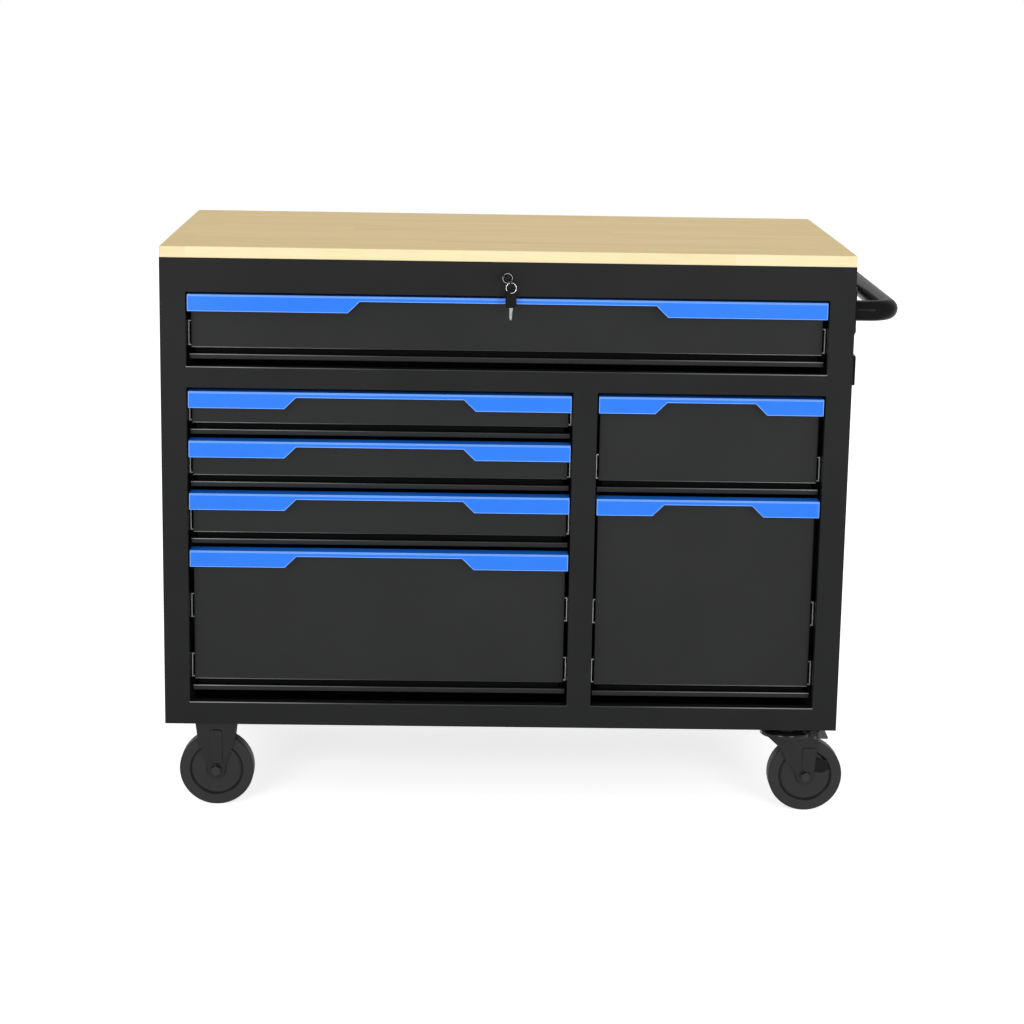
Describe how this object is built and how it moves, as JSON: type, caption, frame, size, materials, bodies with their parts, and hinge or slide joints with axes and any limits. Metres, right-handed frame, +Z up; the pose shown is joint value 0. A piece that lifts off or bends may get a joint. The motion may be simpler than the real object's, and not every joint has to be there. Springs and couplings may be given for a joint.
{
  "type": "rolling tool chest workbench",
  "caption": "Rolling tool chest workbench with a wooden top, black steel cabinet, drawers with blue pulls, a side handle, keyed lock and casters with brakes.",
  "frame": {"origin": "centre of the bounding box on the floor", "axes": "+X to the right along the front, +Y from the front to the back, +Z up"},
  "size_m": [1.2516, 0.655, 0.988],
  "materials": {
    "black_paint": "satin powder coat",
    "black_plastic": "moulded",
    "blue_paint": "satin powder coat",
    "caster_paint": "black coating",
    "chrome_steel": "nickel plated",
    "gloss_black": "gloss powder coat",
    "red_plastic": "moulded",
    "wheel_rubber": "moulded",
    "wood": "clear lacquer",
    "zinc": "zinc plated"
  },
  "bodies": {
    "cabinet": {"left_side_panel": "black_paint", "right_side_panel": "black_paint", "back_panel": "black_paint", "bottom_panel": "black_paint", "top_panel": "black_paint", "wood_worktop": "wood", "top_fascia": "black_paint", "middle_rail": "black_paint", "bottom_rail": "black_paint", "center_divider": "black_paint", "slide_posts": "black_paint", "outer_slide_members": "zinc", "handle_tube": "gloss_black", "handle_brackets": "gloss_black", "fasteners": "zinc", "power_strip_housing": "gloss_black", "lock_barrel": "chrome_steel", "rigid_fork_front": "caster_paint", "rigid_fork_rear": "caster_paint", "swivel_caster_plates": "caster_paint"},
    "power_switch": {"power_strip_switch": "red_plastic"},
    "lock": {"lock_plug": "chrome_steel", "key_in_lock": "black_plastic"},
    "ring": {"key_ring": "chrome_steel"},
    "drawer_top": {"drawer_box_top": "black_paint", "drawer_pull_top": "blue_paint", "drawer_slide_inner_top": "zinc"},
    "runners_top": {"drawer_slide_middle_top": "zinc"},
    "drawer_left_a": {"drawer_box_left_a": "black_paint", "drawer_pull_left_a": "blue_paint", "drawer_slide_inner_left_a": "zinc"},
    "runners_left_a": {"drawer_slide_middle_left_a": "zinc"},
    "drawer_left_b": {"drawer_box_left_b": "black_paint", "drawer_pull_left_b": "blue_paint", "drawer_slide_inner_left_b": "zinc"},
    "runners_left_b": {"drawer_slide_middle_left_b": "zinc"},
    "drawer_left_c": {"drawer_box_left_c": "black_paint", "drawer_pull_left_c": "blue_paint", "drawer_slide_inner_left_c": "zinc"},
    "runners_left_c": {"drawer_slide_middle_left_c": "zinc"},
    "drawer_left_d": {"drawer_box_left_d": "black_paint", "drawer_pull_left_d": "blue_paint", "drawer_slide_inner_left_d": "zinc"},
    "runners_left_d": {"drawer_slide_middle_left_d": "zinc"},
    "drawer_right_a": {"drawer_box_right_a": "black_paint", "drawer_pull_right_a": "blue_paint", "drawer_slide_inner_right_a": "zinc"},
    "runners_right_a": {"drawer_slide_middle_right_a": "zinc"},
    "drawer_right_b": {"drawer_box_right_b": "black_paint", "drawer_pull_right_b": "blue_paint", "drawer_slide_inner_right_b": "zinc"},
    "runners_right_b": {"drawer_slide_middle_right_b": "zinc"},
    "wheel_left_front": {"wheel_left_front": "wheel_rubber"},
    "caster_front": {"swivel_fork_front": "caster_paint"},
    "wheel_right_front": {"wheel_right_front": "wheel_rubber"},
    "brake_front": {"brake_pedal_front": "zinc"},
    "wheel_left_rear": {"wheel_left_rear": "wheel_rubber"},
    "caster_rear": {"swivel_fork_rear": "caster_paint"},
    "wheel_right_rear": {"wheel_right_rear": "wheel_rubber"},
    "brake_rear": {"brake_pedal_rear": "zinc"}
  },
  "joints": [
    {"name": "drawer_top_slide", "type": "slide", "parent": "cabinet", "child": "drawer_top", "axis": [0, -1, 0], "range_m": [0, 0.53]},
    {"name": "runners_top_slide", "type": "slide", "parent": "cabinet", "child": "runners_top", "axis": [0, -1, 0], "range_m": [0, 0.265]},
    {"name": "drawer_left_a_slide", "type": "slide", "parent": "cabinet", "child": "drawer_left_a", "axis": [0, -1, 0], "range_m": [0, 0.53]},
    {"name": "runners_left_a_slide", "type": "slide", "parent": "cabinet", "child": "runners_left_a", "axis": [0, -1, 0], "range_m": [0, 0.265]},
    {"name": "drawer_left_b_slide", "type": "slide", "parent": "cabinet", "child": "drawer_left_b", "axis": [0, -1, 0], "range_m": [0, 0.53]},
    {"name": "runners_left_b_slide", "type": "slide", "parent": "cabinet", "child": "runners_left_b", "axis": [0, -1, 0], "range_m": [0, 0.265]},
    {"name": "drawer_left_c_slide", "type": "slide", "parent": "cabinet", "child": "drawer_left_c", "axis": [0, -1, 0], "range_m": [0, 0.53]},
    {"name": "runners_left_c_slide", "type": "slide", "parent": "cabinet", "child": "runners_left_c", "axis": [0, -1, 0], "range_m": [0, 0.265]},
    {"name": "drawer_left_d_slide", "type": "slide", "parent": "cabinet", "child": "drawer_left_d", "axis": [0, -1, 0], "range_m": [0, 0.53]},
    {"name": "runners_left_d_slide", "type": "slide", "parent": "cabinet", "child": "runners_left_d", "axis": [0, -1, 0], "range_m": [0, 0.265]},
    {"name": "drawer_right_a_slide", "type": "slide", "parent": "cabinet", "child": "drawer_right_a", "axis": [0, -1, 0], "range_m": [0, 0.53]},
    {"name": "runners_right_a_slide", "type": "slide", "parent": "cabinet", "child": "runners_right_a", "axis": [0, -1, 0], "range_m": [0, 0.265]},
    {"name": "drawer_right_b_slide", "type": "slide", "parent": "cabinet", "child": "drawer_right_b", "axis": [0, -1, 0], "range_m": [0, 0.53]},
    {"name": "runners_right_b_slide", "type": "slide", "parent": "cabinet", "child": "runners_right_b", "axis": [0, -1, 0], "range_m": [0, 0.265]},
    {"name": "wheel_left_front_roll", "type": "hinge", "parent": "cabinet", "child": "wheel_left_front", "pos_m": [-0.54075, -0.2455, 0.065], "axis": [0, 1, 0], "continuous": true},
    {"name": "swivel_front_turn", "type": "hinge", "parent": "cabinet", "child": "caster_front", "pos_m": [0.46125, -0.2455, 0.147], "axis": [0, 0, 1], "continuous": true},
    {"name": "wheel_right_front_roll", "type": "hinge", "parent": "caster_front", "child": "wheel_right_front", "pos_m": [0.49625, -0.2455, 0.065], "axis": [0, 1, 0], "continuous": true},
    {"name": "brake_front_press", "type": "hinge", "parent": "caster_front", "child": "brake_front", "pos_m": [0.51025, -0.2455, 0.1365], "axis": [0, 1, 0], "range_deg": [0, 16]},
    {"name": "wheel_left_rear_roll", "type": "hinge", "parent": "cabinet", "child": "wheel_left_rear", "pos_m": [-0.54075, 0.2785, 0.065], "axis": [0, 1, 0], "continuous": true},
    {"name": "swivel_rear_turn", "type": "hinge", "parent": "cabinet", "child": "caster_rear", "pos_m": [0.46125, 0.2785, 0.147], "axis": [0, 0, 1], "continuous": true},
    {"name": "wheel_right_rear_roll", "type": "hinge", "parent": "caster_rear", "child": "wheel_right_rear", "pos_m": [0.49625, 0.2785, 0.065], "axis": [0, 1, 0], "continuous": true},
    {"name": "brake_rear_press", "type": "hinge", "parent": "caster_rear", "child": "brake_rear", "pos_m": [0.51025, 0.2785, 0.1365], "axis": [0, 1, 0], "range_deg": [0, 16]},
    {"name": "key_turn", "type": "hinge", "parent": "cabinet", "child": "lock", "pos_m": [-0.04375, -0.2945, 0.942], "axis": [0, 1, 0], "range_deg": [0, 90]},
    {"name": "ring_hang", "type": "hinge", "parent": "lock", "child": "ring", "pos_m": [-0.03774, -0.3165, 0.93599], "axis": [0, 1, 0], "range_deg": [-90, 0]},
    {"name": "power_switch_rock", "type": "hinge", "parent": "cabinet", "child": "power_switch", "pos_m": [0.56775, -0.1025, 0.768], "axis": [0, 0, -1], "range_deg": [0, 12]}
  ],
  "couplings": [
    {"joint": "runners_top_slide", "follows": "drawer_top_slide", "ratio": 0.5},
    {"joint": "runners_left_a_slide", "follows": "drawer_left_a_slide", "ratio": 0.5},
    {"joint": "runners_left_b_slide", "follows": "drawer_left_b_slide", "ratio": 0.5},
    {"joint": "runners_left_c_slide", "follows": "drawer_left_c_slide", "ratio": 0.5},
    {"joint": "runners_left_d_slide", "follows": "drawer_left_d_slide", "ratio": 0.5},
    {"joint": "runners_right_a_slide", "follows": "drawer_right_a_slide", "ratio": 0.5},
    {"joint": "runners_right_b_slide", "follows": "drawer_right_b_slide", "ratio": 0.5},
    {"joint": "ring_hang", "follows": "key_turn", "ratio": -1}
  ]
}
